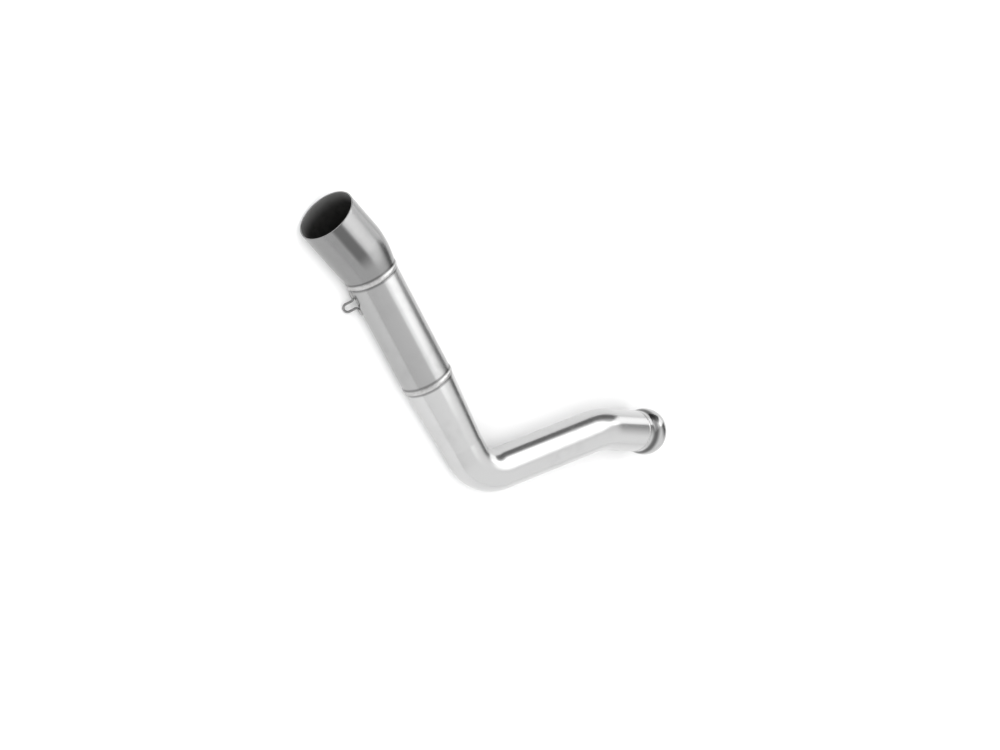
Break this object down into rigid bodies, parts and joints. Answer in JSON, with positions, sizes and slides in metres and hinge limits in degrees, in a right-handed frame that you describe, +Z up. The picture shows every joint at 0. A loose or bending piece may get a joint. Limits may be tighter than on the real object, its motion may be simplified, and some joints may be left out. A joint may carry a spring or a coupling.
{
  "type": "motorcycle decat pipe",
  "caption": "Bent and welded stainless steel motorcycle decat link pipe with a ball-ended inlet, a cone, a straight sleeve, a slip-on outlet socket and a spring hook.",
  "frame": {"origin": "middle of the resting pipe's box, on the surface that it lies on", "axes": "+Z up from that surface; +X along the straight sleeve towards the outlet; +Y across it, away from the inlet"},
  "size_m": [0.482, 0.296, 0.0668],
  "materials": {
    "tube_steel": "polished stainless tube with fine grain along it",
    "sleeve_steel": "polished stainless tube with fine grain round it",
    "outlet_steel": "polished stainless, dark inside the mouth",
    "collar_steel": "turned and polished stainless",
    "weld_steel": "bright weld bead with fine ripples",
    "hook_steel": "drawn stainless wire",
    "hook_weld_steel": "small dull weld"
  },
  "bodies": {
    "root": {"inlet_collar": "collar_steel", "collar_weld": "weld_steel", "lower_tube": "tube_steel", "lower_weld": "weld_steel", "sleeve_tube": "sleeve_steel", "upper_weld": "weld_steel", "outlet_socket": "outlet_steel", "spring_hook": "hook_steel", "hook_weld_upper": "hook_weld_steel", "hook_weld_lower": "hook_weld_steel"}
  },
  "joints": []
}
